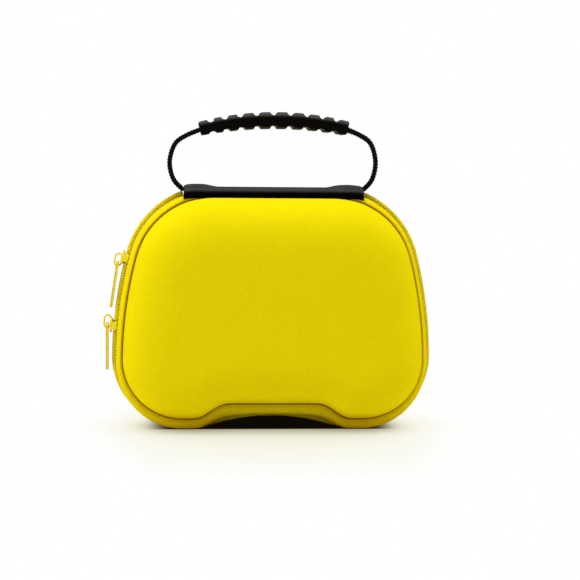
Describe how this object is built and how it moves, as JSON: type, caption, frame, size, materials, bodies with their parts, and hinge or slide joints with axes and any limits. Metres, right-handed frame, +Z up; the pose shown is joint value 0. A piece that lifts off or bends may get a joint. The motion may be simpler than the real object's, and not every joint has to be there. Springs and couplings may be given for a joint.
{
  "type": "controller carrying case",
  "caption": "Zipped hard-shell case for a game controller: two fabric-faced domed shells on a fabric hinge spine, two zip sliders, webbing handle with a ribbed grip, mesh pocket inside.",
  "frame": {"origin": "on the floor plane, in the zip's middle plane, midway between the two lobes that the case stands on", "axes": "+X to the right seen from the lid's side, -Y out of the lid, +Z up to the hinge and the handle"},
  "size_m": [0.1849, 0.075, 0.1766],
  "materials": {
    "shell_fabric": "tightly woven yellow fabric bonded to moulded foam board",
    "zip_tape": "yellow woven zip tape",
    "zip_teeth": "yellow nylon coil",
    "lining_binding": "black woven binding tape",
    "spine_fabric": "matt black fabric",
    "webbing": "black ribbed webbing",
    "grip_rubber": "satin black rubber",
    "painted_slider": "yellow baked paint",
    "pocket_mesh": "black knitted mesh",
    "elastic": "black woven elastic",
    "hook_and_loop": "black hook and loop tape"
  },
  "bodies": {
    "base": {"back_shell": "shell_fabric", "back_zip_tape": "zip_tape", "back_zip_coil": "zip_teeth", "back_binding": "lining_binding", "hold_strap_left": "elastic", "hold_strap_right": "elastic", "hook_patch": "hook_and_loop", "loop_patch": "hook_and_loop"},
    "lid": {"front_shell": "shell_fabric", "front_zip_tape": "zip_tape", "front_zip_coil": "zip_teeth", "front_binding": "lining_binding", "mesh_pocket": "pocket_mesh", "pocket_hem": "elastic"},
    "handle": {"hinge_spine": "spine_fabric", "handle_webbing": "webbing", "handle_grip": "grip_rubber"},
    "low_slider": {"lower_slider": "painted_slider"},
    "low_tab": {"lower_pull": "painted_slider"},
    "high_slider": {"upper_slider": "painted_slider"},
    "high_tab": {"upper_pull": "painted_slider"}
  },
  "joints": [
    {"name": "lid_hinge", "type": "hinge", "parent": "base", "child": "lid", "pos_m": [0, 0, 0.1365], "axis": [-1, 0, 0], "range_deg": [0, 160], "deforming": ["hinge_spine"]},
    {"name": "handle_swing", "type": "hinge", "parent": "base", "child": "handle", "pos_m": [0, 0, 0.1365], "axis": [-1, 0, 0], "range_deg": [0, 80], "deforming": ["handle_webbing"]},
    {"name": "lower_slider_run", "type": "hinge", "parent": "base", "child": "low_slider", "pos_m": [0.15, 0, 0.037], "axis": [0, 1, 0], "range_deg": [-4, 0.3]},
    {"name": "lower_pull_swing", "type": "hinge", "parent": "low_slider", "child": "low_tab", "pos_m": [-0.09247, 0, 0.05768], "axis": [0, 1, 0], "range_deg": [-3, 150]},
    {"name": "upper_slider_run", "type": "hinge", "parent": "base", "child": "high_slider", "pos_m": [-0.03267, 0, 0.0855], "axis": [0, 1, 0], "range_deg": [0, 20]},
    {"name": "upper_pull_swing", "type": "hinge", "parent": "high_slider", "child": "high_tab", "pos_m": [-0.08671, 0, 0.09242], "axis": [0, 1, 0], "range_deg": [0, 150]}
  ],
  "couplings": [
    {"joint": "handle_swing", "follows": "lid_hinge", "ratio": 0.5}
  ]
}
